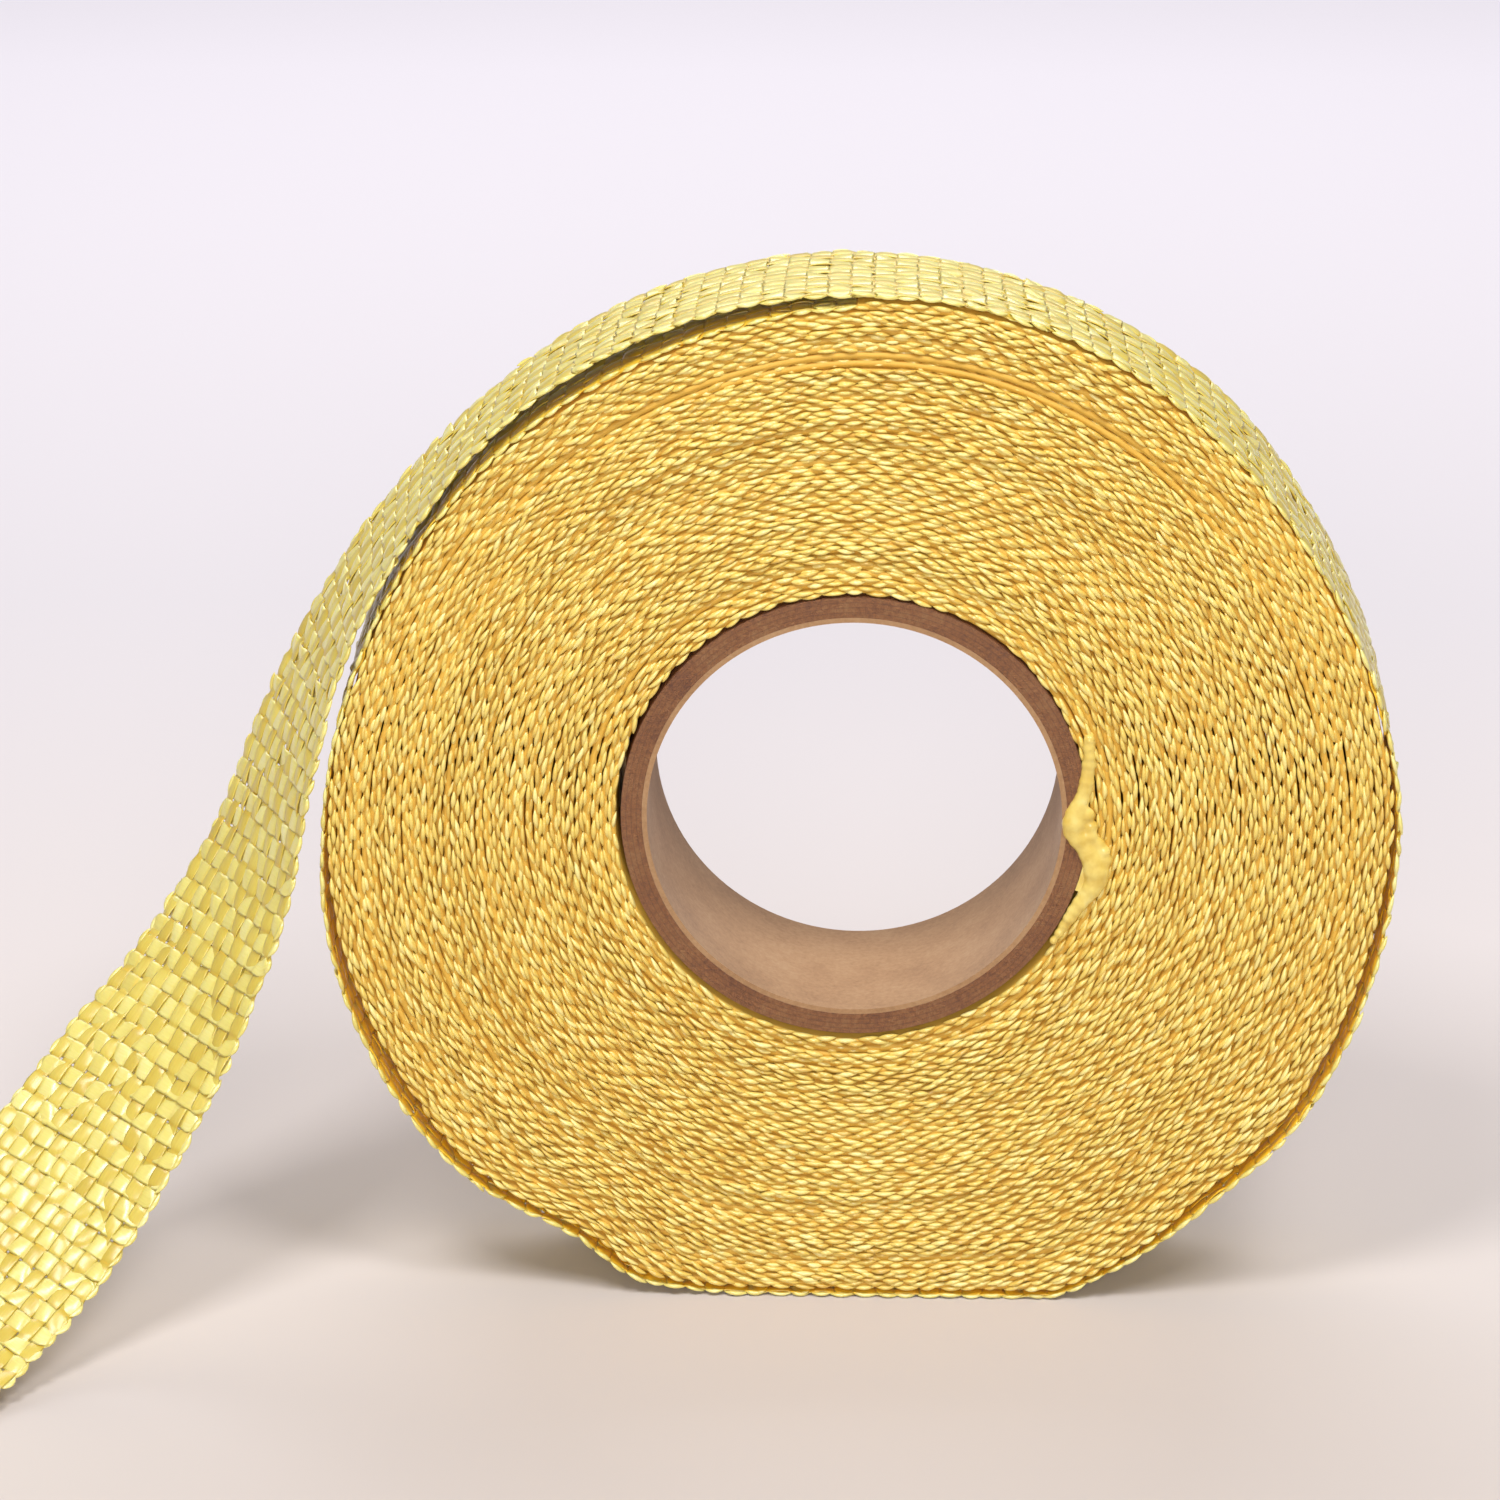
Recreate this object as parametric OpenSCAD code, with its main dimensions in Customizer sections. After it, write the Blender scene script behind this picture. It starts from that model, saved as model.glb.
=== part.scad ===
// Roll of plain-woven flat tape on a spiral-wound paper core.
// The roll stands on its rim, so its bottom is pressed flat, its outer turns
// sag, and the free tail peels off at the upper left, twists and comes down to
// the floor in front of the roll.
// Frame: +Z up, +Y along the bore, origin in the middle of the bore.
// All sizes are in millimetres.

/* [Paper core] */
// Inside diameter of the core
core_bore = 50.8; // [50:0.1:51]
// Wall thickness of the core
core_wall = 3.2; // [2.6:0.1:3.2]

/* [Tape] */
// Width of the tape and length of the core
tape_width = 25.4; // [19:0.1:25.4]
// Thickness of one layer of tape
tape_thick = 0.75; // [0.5:0.05:0.8]
// Whole turns in the tight part of the pack
pack_turns = 35; // [30:1:36]
// Height of the core's axis over the floor
axis_height = 65; // [64.5:0.1:65]

/* [Start of the tape] */
// Angle round the core where the tape starts
start_angle = 0; // [0:1:5]
// Width of the folded stub that is stuck down on the core
stub_length = 9; // [6:0.5:12]

/* [Free tail] */
// Thickness of the tail, a little fuller where the weave is not pressed
tail_thick = 0.8; // [0.5:0.05:0.9]
// Gap left at each bend line between two stretches of the tail
bend_gap = 0.7; // [0.6:0.05:1]
// Distance between the cross-sections of the tail
tail_step = 4; // [3:0.5:6]

/* [Colours] */
// Paper liner of the core
liner_colour = "tan"; // [tan, burlywood, peru]
// Grey-brown body paper of the core
ply_colour = "rosybrown"; // [rosybrown, sienna, peru]
// Woven tape seen from its edge
edge_colour = "goldenrod"; // [goldenrod, gold, khaki]
// Outer face of the woven tape
face_colour = "khaki"; // [khaki, gold, palegoldenrod]

/* [Hidden] */

STEP = 10;                       // degrees between two corners of a turn
r_bore = core_bore / 2;
ply = core_wall / 5;
r_core = r_bore + core_wall;
half_w = tape_width / 2;

// Outline of the wound pack, a radius every 15 degrees from +X over the top
PACK = [65.1, 64.4, 63.9, 64.4, 65.1, 65.5,
        65.2, 64.2, 63.4, 63.3, 63.1, 63.7,
        65.0, 66.0, 66.6, 67.9, 69.8, 70.4,
        70.0, 69.4, 68.6, 67.9, 66.5, 65.4];
// Outline of the last, loose turn, every 15 degrees from the top of the roll
// (90 degrees) anticlockwise all the way round to the top again (450 degrees)
LOOSE = [65.2, 64.3, 63.6, 63.6, 63.4, 64.0, 65.3, 67.1, 68.4, 69.6, 71.0, 71.5,
         71.0, 70.2, 69.6, 69.7, 68.3, 67.0, 66.6, 65.7, 65.0, 65.4, 66.1, 66.7, 66.5];
// Outline of the wrap that is peeling off, every 15 degrees from the top
PEEL = [66.5, 66.3, 66.0, 65.8];

// Route of the tail's middle line, from where the peeling wrap ends
ROUTE = [[-46, 0, 47], [-56, 0, 34], [-64.2, 0, 20], [-70.2, -1.5, 4.5], [-75.3, -4, -11],
         [-82.5, -9, -25], [-91, -16, -37], [-100, -25, -48.5], [-109, -35.5, -57],
         [-118, -48.5, -61.5], [-127.5, -62, -64.2]];
// Twist of the tail at each point of its route, in degrees
TWIST = [0, -5, -11, -20, -28, -36, -48, -56, -46, -24, -13];
// Bend lines lie at these points of the route
BEND_UPPER = 2;
BEND_LOWER = 5;
BEND_FOOT = 8;
CUT_END = 10;

// Smooth curve through four values, t runs from 0 at b to 1 at c
function smooth4(a, b, c, d, t) =
    b + t * ((c - a) / 2 + t * ((2 * a - 5 * b + 4 * c - d) / 2 + t * (3 * b - a - 3 * c + d) / 2));
// Value of a table with a row every 15 degrees that closes on itself
function round_table(T, a) =
    let (n = len(T), k = a / 15, i = floor(k), t = k - i)
    smooth4(T[(i + n - 1) % n], T[i % n], T[(i + 1) % n], T[(i + 2) % n], t);
// Value of a table that starts and ends
function open_table(T, k) =
    let (n = len(T), i = min(max(floor(k), 0), n - 2), t = k - i)
    smooth4(i == 0 ? 2 * T[0] - T[1] : T[i - 1], T[i], T[i + 1],
            i + 2 > n - 1 ? 2 * T[n - 1] - T[n - 2] : T[i + 2], t);
// Radius of the floor plane h below the axis, or a large number above it
function floor_radius(a, h) = let (s = -sin(a)) s > 0.3 ? h / s : 1000;

// The pack: u is the angle wound since the start of the tape
pack_end = 90 + 360 * pack_turns - start_angle;
r_mean = 66;
function pack_radius(u) =
    let (a = (u + start_angle) % 360, f = (u + 40) / (pack_end + 40), g = (u + 0) / pack_end,
         o = min(round_table(PACK, a), floor_radius(a, axis_height - tape_thick - 0.15)))
    r_core + 0.2 + tape_thick + (r_mean - r_core - 0.2 - tape_thick) * g + (o - r_mean) * f * f;
// The loose turn: a runs from 90 to 450 degrees
function loose_radius(a) =
    min(open_table(LOOSE, (a - 90) / 15), floor_radius(a, axis_height));
function peel_radius(a) = open_table(PEEL, (a - 90) / 15);

function polar(r, a) = [r * cos(a), r * sin(a)];
// A strip of tape drawn edge on: outer corners one way, inner corners back
function strip(R, A, th) =
    concat([for (i = [0:len(A) - 1]) polar(R[i], A[i])],
           [for (i = [len(A) - 1:-1:0]) polar(R[i] - th, A[i])]);

// Stands a shape drawn in X and Z up and gives it the width of the tape
module across() {
    rotate([90, 0, 0])
        translate([0, 0, -half_w])
            linear_extrude(height = tape_width)
                children();
}

module tube_ply(i) {
    rotate([90, 0, 0])
        translate([0, 0, -half_w])
            difference() {
                cylinder(h = tape_width, r = r_bore + ply * (i + 1), $fn = 96);
                translate([0, 0, -1])
                    cylinder(h = tape_width + 2, r = r_bore + ply * i, $fn = 96);
            }
}

// Turns u0 to u1 of the pack. Each turn presses on the one before it, so the
// turns are solid through the middle of the width, and a spiral groove parts
// them along both edges of the tape.
groove_depth = 1.5;
module pack_turns_between(u0, u1) {
    n = 360 / STEP;
    difference() {
        across()
            difference() {
                polygon([for (i = [0:n]) let (u = u1 - 360 + STEP * i)
                            polar(pack_radius(u), (u + start_angle) % 360)]);
                polygon([for (i = [0:n]) let (u = u0 + STEP * i)
                            polar(pack_radius(u) - tape_thick, (u + start_angle) % 360)]);
            }
        for (side = [-1, 1])
            translate([0, side * (half_w - groove_depth / 2 + 0.5), 0])
                rotate([90, 0, 0])
                    translate([0, 0, -groove_depth / 2 - 0.5])
                        linear_extrude(height = groove_depth + 1)
                            pack_groove(u0 + 360, u1);
    }
}
// Gap between each turn and the one under it
module pack_groove(u0, u1) {
    U = [for (i = [0:round((u1 - u0) / STEP)]) u0 + STEP * i];
    polygon(concat([for (u = U) polar(pack_radius(u) - tape_thick, (u + start_angle) % 360)],
                   [for (i = [len(U) - 1:-1:0])
                        polar(pack_radius(U[i] - 360), (U[i] + start_angle) % 360)]));
}

// ---- the twisted tail -------------------------------------------------
function unit(v) = v / norm(v);
function route_point(k) = open_table(ROUTE, k);
function route_dir(k) = unit(route_point(min(k + 0.02, CUT_END)) - route_point(max(k - 0.02, 0)));
function route_twist(k) = open_table(TWIST, k);
// Direction across the tail: +Y made square to the route, then twisted
function route_across(k) =
    let (t = route_dir(k), y = unit([0, 1, 0] - t * t[1]), n = cross(t, y), w = route_twist(k))
    cos(w) * y + sin(w) * n;
// Four corners of the tail's cross-section
function tail_ring(k) =
    let (c = route_point(k), t = route_dir(k), w = route_across(k), n = cross(t, w))
    [for (q = [[-1, -1], [1, -1], [1, 1], [-1, 1]])
        c + w * q[0] * half_w + n * q[1] * tail_thick / 2];
// Point of the route that lies d along it from point k
function along(k, d) = k + d / norm(route_point(k + 0.05) - route_point(k - 0.05)) * 0.1;

// Cross-section of the peeling wrap at an angle round the roll
peel_start = 90 + bend_gap / 2 / 66 * 57.3;
peel_end = atan2(ROUTE[0][2], ROUTE[0][0]) - 1.5;
function peel_ring(a) =
    [for (q = [[-1, -1], [1, -1], [1, 1], [-1, 1]])
        let (r = peel_radius(a) - tail_thick / 2 - q[1] * tail_thick / 2)
        [r * cos(a), q[0] * half_w, r * sin(a)]];

// Solid through a row of four-cornered cross-sections
module ribbon(rings) {
    m = len(rings) - 1;
    pts = [for (r = rings) for (p = r) p];
    sides = [for (i = [0:m - 1]) for (j = [0:3])
                [4 * i + j, 4 * i + (j + 1) % 4, 4 * (i + 1) + (j + 1) % 4, 4 * (i + 1) + j]];
    tris = [for (s = sides) for (h = [0, 1]) h == 0 ? [s[0], s[1], s[2]] : [s[0], s[2], s[3]]];
    polyhedron(points = pts,
               faces = concat([[3, 2, 1, 0]], tris, [[4 * m, 4 * m + 1, 4 * m + 2, 4 * m + 3]]),
               convexity = 6);
}

module tail_between(k0, k1) {
    m = max(2, ceil(norm(route_point(k1) - route_point(k0)) / tail_step));
    ribbon([for (i = [0:m]) tail_ring(k0 + (k1 - k0) * i / m)]);
}

// ---- pieces ------------------------------------------------------------
// Smooth kraft liner that forms the bore
module core_inner_liner() { color(liner_colour) tube_ply(0); }
// Three plies of body paper
module core_ply_inner() { color(ply_colour) tube_ply(1); }
module core_ply_middle() { color(ply_colour) tube_ply(2); }
module core_ply_outer() { color(ply_colour) tube_ply(3); }
// Outer liner that the tape is wound on
module core_outer_liner() { color(liner_colour) tube_ply(4); }

// Stub at the start of the tape: folded back and lying against the core,
// just before the point where the first turn begins
module tape_start_stub() {
    color(edge_colour)
        across()
            let (w = stub_length / r_core * 57.3, n = 6,
                 A = [for (i = [0:n]) start_angle - 0.6 - w + w * i / n])
            polygon(strip([for (a = A) r_core + 0.05 + tape_thick], A, tape_thick));
}

// Hardened beads that hold the stub to the core's front edge
module start_bond_beads() {
    color(face_colour)
        for (b = [[30.2, 3.4, 1.1], [29.9, -1.4, 0.9], [30.3, -6.2, 1.1], [29.8, -10.8, 0.9]])
            translate([b[0] * cos(b[1]), -half_w - 0.02, b[0] * sin(b[1])])
                rotate([90, 0, 0])
                    cylinder(h = 0.8, r1 = b[2], r2 = b[2] * 0.55, $fn = 24);
}

// The wound tape, one spiral in three stretches
u_1 = 360 * 12;
u_2 = 360 * 24;
module tape_turns_inner() { color(edge_colour) pack_turns_between(0, u_1); }
module tape_turns_middle() { color(edge_colour) pack_turns_between(u_1, u_2); }
module tape_turns_outer() { color(edge_colour) pack_turns_between(u_2, pack_end); }

// Last full turn: loose at both lower corners, pressed flat on the floor
module tape_loose_turn() {
    color(face_colour)
        across()
            let (A = [for (i = [0:35]) 90 + 10 * i], B = concat(A, [450 - bend_gap / 2 / 66 * 57.3]))
            polygon(strip([for (a = B) loose_radius(a)], B, tape_thick));
}

// Stretch over the upper left that has lifted off the turn under it: an arc
// that runs on into the start of the tail's route
module tape_peel_wrap() {
    color(face_colour)
        ribbon(concat([for (i = [0:5]) peel_ring(peel_start + (peel_end - peel_start) * i / 5)],
                      let (k0 = 0.12, k1 = along(BEND_UPPER, -bend_gap / 2), m = 8)
                      [for (i = [0:m]) tail_ring(k0 + (k1 - k0) * i / m)]));
}

// Free tail, three stretches between bend lines
module tail_upper() {
    color(face_colour)
        tail_between(along(BEND_UPPER, bend_gap / 2), along(BEND_LOWER, -bend_gap / 2));
}
module tail_lower() {
    color(face_colour)
        tail_between(along(BEND_LOWER, bend_gap / 2), along(BEND_FOOT, -bend_gap / 2));
}
module tail_foot() {
    color(face_colour)
        tail_between(along(BEND_FOOT, bend_gap / 2), CUT_END - 0.25);
}
// Sealed strip across the cut end, where the yarns are stuck together
module tail_cut_end() {
    color(edge_colour) tail_between(CUT_END - 0.25, CUT_END);
}

core_inner_liner();
core_ply_inner();
core_ply_middle();
core_ply_outer();
core_outer_liner();
tape_start_stub();
start_bond_beads();
tape_turns_inner();
tape_turns_middle();
tape_turns_outer();
tape_loose_turn();
tape_peel_wrap();
tail_upper();
tail_lower();
tail_foot();
tail_cut_end();
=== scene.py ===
import math

import bpy
import numpy as np
from mathutils import Matrix, Vector


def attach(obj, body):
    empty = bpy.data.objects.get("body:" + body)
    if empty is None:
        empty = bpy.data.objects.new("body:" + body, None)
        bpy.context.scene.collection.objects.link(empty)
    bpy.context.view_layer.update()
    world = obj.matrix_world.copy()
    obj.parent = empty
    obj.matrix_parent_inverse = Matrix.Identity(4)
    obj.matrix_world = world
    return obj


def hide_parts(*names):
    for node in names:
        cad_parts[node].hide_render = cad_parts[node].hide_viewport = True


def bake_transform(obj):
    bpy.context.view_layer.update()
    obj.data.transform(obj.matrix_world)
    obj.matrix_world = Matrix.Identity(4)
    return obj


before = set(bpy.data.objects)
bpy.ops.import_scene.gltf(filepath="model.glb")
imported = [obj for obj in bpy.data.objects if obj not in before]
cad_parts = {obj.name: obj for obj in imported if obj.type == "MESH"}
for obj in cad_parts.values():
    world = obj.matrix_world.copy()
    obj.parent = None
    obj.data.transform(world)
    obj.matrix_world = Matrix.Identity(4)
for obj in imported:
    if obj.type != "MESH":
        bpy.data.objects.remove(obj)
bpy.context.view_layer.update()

scene = bpy.context.scene
rng = np.random.default_rng(7)

# ---------------------------------------------------------------- camera
camera = bpy.data.objects.new("camera", bpy.data.cameras.new("camera"))
scene.collection.objects.link(camera)
right = Vector((0.99949, 0.03193, 0.0))
up = Vector((-0.01135, 0.35525, 0.93470))
back = right.cross(up).normalized()
camera.matrix_world = Matrix.Translation((0.00955, -0.71093, 0.27444)) @ Matrix(
    (right, up, back)
).transposed().to_4x4()
camera.data.sensor_width = 36.0
camera.data.lens = 147.2
camera.data.clip_start = 0.02
camera.data.clip_end = 30.0
scene.camera = camera
scene.view_settings.view_transform = "Standard"

# ---------------------------------------------------------------- the roll's shape, in millimetres
PACK = [65.5, 64.9, 64.3, 64.5, 65.1, 65.5, 65.2, 64.2, 63.4, 63.3, 63.1, 63.7,
        65.0, 66.0, 66.6, 67.9, 69.8, 70.4, 70.0, 69.4, 68.6, 67.9, 66.5, 65.4]
LOOSE = [65.2, 64.3, 63.6, 63.6, 63.4, 64.0, 65.3, 67.1, 68.4, 69.6, 71.0, 71.5,
         71.0, 70.2, 69.6, 69.7, 68.3, 67.0, 66.6, 65.7, 65.0, 65.4, 66.1, 66.7, 66.5]
PEEL = [66.5, 66.3, 66.0, 65.8]
ROUTE = [[-46, 0, 47], [-56.1, 0, 34], [-64.55, 0, 20], [-70.7, -1.5, 4.5], [-75.3, -4, -11],
         [-82.5, -9, -25], [-91, -16, -37], [-100, -25, -48.5], [-109, -35.5, -57],
         [-118, -48.5, -61.5], [-127.5, -62, -64.2]]
TWIST = [0, -5, -11, -20, -28, -36, -48, -56, -46, -24, -13]
T, TT, AX, RC, TURNS, RM = 0.75, 0.8, 65.0, 28.6, 35, 66.0
PEND = 90 + 360 * TURNS
HALF = 12.7
PICK = 2.7      # weft picks along the tape
END = 2.05      # warp ends across it
ENDS = 12


def smooth4(a, b, c, d, t):
    return b + t * ((c - a) / 2 + t * ((2 * a - 5 * b + 4 * c - d) / 2 + t * (3 * b - a - 3 * c + d) / 2))


def round_table(table, a):
    table = np.asarray(table, float)
    n = len(table)
    k = np.asarray(a, float) / 15
    i = np.floor(k).astype(int)
    return smooth4(table[(i + n - 1) % n], table[i % n], table[(i + 1) % n], table[(i + 2) % n], k - i)


def open_table(table, k):
    table = np.asarray(table, float)
    n = len(table)
    k = np.atleast_1d(np.asarray(k, float))
    i = np.clip(np.floor(k).astype(int), 0, n - 2)
    t = k - i
    ext = np.concatenate([[2 * table[0] - table[1]], table, [2 * table[-1] - table[-2]]])
    if table.ndim == 2:
        t = t[:, None]
    return smooth4(ext[i], ext[i + 1], ext[i + 2], ext[i + 3], t)


def floor_radius(a, h):
    s = -np.sin(np.radians(a))
    return np.where(s > 0.3, h / np.maximum(s, 1e-3), 1000.0)


def pack_radius(u):
    a = u % 360
    f = (u + 40) / (PEND + 40)
    g = u / PEND
    o = np.minimum(round_table(PACK, a), floor_radius(a, AX - T - 0.15))
    base = RC + 0.2 + T
    return base + (RM - base) * g + (o - RM) * f * f


def loose_radius(a):
    return np.minimum(open_table(LOOSE, (a - 90) / 15), floor_radius(a, AX))


def unit(v):
    return v / np.maximum(np.linalg.norm(v, axis=-1, keepdims=True), 1e-12)


def gauss(x, sigma):
    """Smooths columns of x, with sigma in samples, and keeps the ends in place."""
    n = int(4 * sigma)
    k = np.exp(-0.5 * (np.arange(-n, n + 1) / sigma) ** 2)
    k /= k.sum()
    out = np.empty_like(x)
    for j in range(x.shape[1]):
        c = x[:, j]
        p = np.concatenate([2 * c[0] - c[n:0:-1], c, 2 * c[-1] - c[-2:-n - 2:-1]])
        out[:, j] = np.convolve(p, k, "valid")
    return out


def wander(s, step, sigma, seed):
    """Smooth random numbers along s, a knot every step millimetres."""
    r = np.random.default_rng(seed)
    n = int(np.max(s) / step) + 6
    k = r.normal(0, sigma, n)
    x = np.maximum(s, 0) / step + 1
    i = np.floor(x).astype(int)
    return smooth4(k[i - 1], k[i], k[i + 1], k[i + 2], x - i)


# The outer tape's middle surface: loose turn, peeling wrap and tail, as one path
def tape_path():
    a1 = np.arange(90.0, 450.0, 0.25)
    r1 = loose_radius(a1) - T / 2
    a2 = np.arange(450.0, 491.5, 0.25)
    r2 = open_table(PEEL, (a2 - 450) / 15) - TT / 2 + 0.35 * np.sin(np.pi * np.clip((a2 - 440) / 50, 0, 1))
    a, r = np.radians(np.concatenate([a1, a2])), np.concatenate([r1, r2])
    arc = np.stack([r * np.cos(a), 0 * r, r * np.sin(a)], 1)
    k = np.arange(0.2, 10.0001, 0.01)
    route = open_table(ROUTE, k)
    d = unit(open_table(ROUTE, np.minimum(k + 0.02, 10)) - open_table(ROUTE, np.maximum(k - 0.02, 0)))
    y = unit(np.array([0, 1.0, 0]) - d * d[:, 1:2])
    n = np.cross(d, y)
    w = np.radians(open_table(TWIST, k))[:, None]
    across = np.cos(w) * y + np.sin(w) * n
    P = np.concatenate([arc, route])
    W = np.concatenate([np.tile([0, 1.0, 0], (len(arc), 1)), across])
    tag = np.concatenate([np.degrees(a), 1000 + k])
    s = np.concatenate([[0], np.cumsum(np.linalg.norm(np.diff(P, axis=0), axis=1))])
    S = np.arange(0, s[-1], 0.25)
    P = np.stack([np.interp(S, s, P[:, j]) for j in range(3)], 1)
    W = np.stack([np.interp(S, s, W[:, j]) for j in range(3)], 1)
    P, W = gauss(P, 6.0), gauss(W, 10.0)
    t = unit(np.gradient(P, axis=0))
    W = unit(W - t * np.sum(W * t, 1, keepdims=True))
    return S, P, t, W, np.cross(W, t), s, tag


S, PP, PT, PW, PN, raw_s, raw_tag = tape_path()
LENGTH = S[-1]


def at(s):
    out = [np.stack([np.interp(s, S, A[:, j]) for j in range(3)], -1) for A in (PP, PT, PW, PN)]
    return out[0], unit(out[1]), unit(out[2]), unit(out[3])


def s_at(tag):
    return float(np.interp(tag, raw_tag, raw_s))


CONE = [0.0, 0.0, 0.0, 0.3, 1.4, 2.05, 1.8, 1.75, 1.1, 0.4, 0.0, 0.0,
        0.0, 0.0, 0.0, 0.0, 0.0, 0.0, 0.0, 0.0, 0.0, 0.0, 0.0, 0.0]
SWELL = [0.3, 0.1, 0.0, 0.1, 0.15, 0.2, 0.2, 0.1, 0.0, 0.0, 0.0, 0.0,
         0.1, 0.4, 0.3, 0.1, 0.0, 0.0, 0.0, 0.0, 0.0, 0.0, 0.2, 0.4]


def lean(V):
    """The outer turns sit a little lower at the rear over the top of the roll, and swell a little at its sides."""
    V = np.array(V, float)
    rad = np.hypot(V[:, 0], V[:, 2])
    a = np.degrees(np.arctan2(V[:, 2], V[:, 0])) % 360
    g = np.clip((rad - 36) / 30, 0, 1.1) ** 2
    dent = 3.1 * np.exp(-(((a - 239) / 7) ** 2) / 2) + 1.1 * np.exp(-(((a - 312) / 6) ** 2) / 2)
    d = (SWELL_T(a) - dent - CONE_T(a) * np.clip((V[:, 1] + 12.7) / 25.4, 0, 1)) * g
    k = 1 + d / np.maximum(rad, 1)
    V[:, 0] *= k
    V[:, 2] *= k
    return V


def CONE_T(a):
    return np.maximum(round_table(CONE, a), 0)


def SWELL_T(a):
    return np.maximum(round_table(SWELL, a), 0)


# ---------------------------------------------------------------- mesh helpers
def build(name, V, F, UV, tone, material, smooth=True):
    me = bpy.data.meshes.new(name)
    V = np.asarray(V, np.float32) * 0.001
    F = np.asarray(F, np.int32)
    me.vertices.add(len(V))
    me.vertices.foreach_set("co", V.ravel())
    me.loops.add(F.size)
    me.loops.foreach_set("vertex_index", F.ravel())
    me.polygons.add(len(F))
    me.polygons.foreach_set("loop_start", np.arange(0, F.size, F.shape[1], dtype=np.int32))
    me.update(calc_edges=True)
    me.validate()
    if UV is not None:
        layer = me.uv_layers.new(name="yarn")
        layer.data.foreach_set("uv", np.asarray(UV, np.float32).ravel())
    if tone is not None:
        at_ = me.attributes.new("tone", "FLOAT", "POINT")
        at_.data.foreach_set("value", np.asarray(tone, np.float32))
    me.polygons.foreach_set("use_smooth", np.full(len(F), smooth, bool))
    me.materials.append(material)
    o = bpy.data.objects.new(name, me)
    scene.collection.objects.link(o)
    return o


def tubes(P, LAT, NOR, a, b, U, tone, K=8, power=1.0):
    """N closed tubes of M rings each. P, LAT and NOR are (N, M, 3), and a and b the half sizes."""
    N, M = P.shape[:2]
    a = np.broadcast_to(a, (N, M))
    b = np.broadcast_to(b, (N, M))
    phi = 2 * np.pi * np.arange(K) / K
    c, s_ = np.cos(phi), np.sin(phi)
    c = np.sign(c) * np.abs(c) ** power
    s_ = np.sign(s_) * np.abs(s_) ** power
    V = (P[:, :, None] + (LAT * a[..., None])[:, :, None] * c[None, None, :, None]
         + (NOR * b[..., None])[:, :, None] * s_[None, None, :, None])
    base = (np.arange(N * M).reshape(N, M) * K)
    k0 = np.arange(K)
    k1 = (k0 + 1) % K
    i0, i1 = base[:, :-1, None], base[:, 1:, None]
    F = np.stack([i0 + k0, i0 + k1, i1 + k1, i1 + k0], -1).reshape(-1, 4)
    wid = 2 * np.pi * np.sqrt((a ** 2 + b ** 2) / 2)
    u0 = np.broadcast_to(U[:, :-1, None], (N, M - 1, K))
    u1 = np.broadcast_to(U[:, 1:, None], (N, M - 1, K))
    w0, w1 = wid[:, :-1, None], wid[:, 1:, None]
    v0, v1 = k0 / K, (k0 + 1) / K
    uv = np.stack([np.stack([u0, w0 * v0], -1), np.stack([u0, w0 * v1], -1),
                   np.stack([u1, w1 * v1], -1), np.stack([u1, w1 * v0], -1)], -2).reshape(-1, 2)
    j = np.arange(K // 2 - 1)
    cap = np.stack([j, j + 1, K - 2 - j, K - 1 - j], -1)
    end = (base[:, -1, None, None] + cap).reshape(-1, 4)
    start = (base[:, 0, None, None] + cap[:, ::-1]).reshape(-1, 4)
    ce, cs = cap.ravel(), cap[:, ::-1].ravel()
    capuv = np.stack([U[:, -1:] + a[:, -1:] * c[ce], b[:, -1:] * s_[ce]], -1).reshape(-1, 2)
    capuv0 = np.stack([U[:, :1] + a[:, :1] * c[cs], b[:, :1] * s_[cs]], -1).reshape(-1, 2)
    F = np.concatenate([F, end, start])
    uv = np.concatenate([uv, capuv, capuv0])
    run = P[:, 1:] - P[:, :-1]
    if np.sum(np.cross(LAT[:, :-1], NOR[:, :-1]) * run) < 0:
        F = F[:, ::-1]
        uv = uv.reshape(-1, 4, 2)[:, ::-1].reshape(-1, 2)
    tone = np.broadcast_to(tone[..., None], (N, M, K)).reshape(-1)
    return V.reshape(-1, 3), F, uv, tone


def merge(parts):
    n, V, F, U, C = 0, [], [], [], []
    for v, f, u, c in parts:
        V.append(v)
        F.append(f + n)
        U.append(u)
        C.append(c)
        n += len(v)
    return np.concatenate(V), np.concatenate(F), np.concatenate(U), np.concatenate(C)


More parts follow.
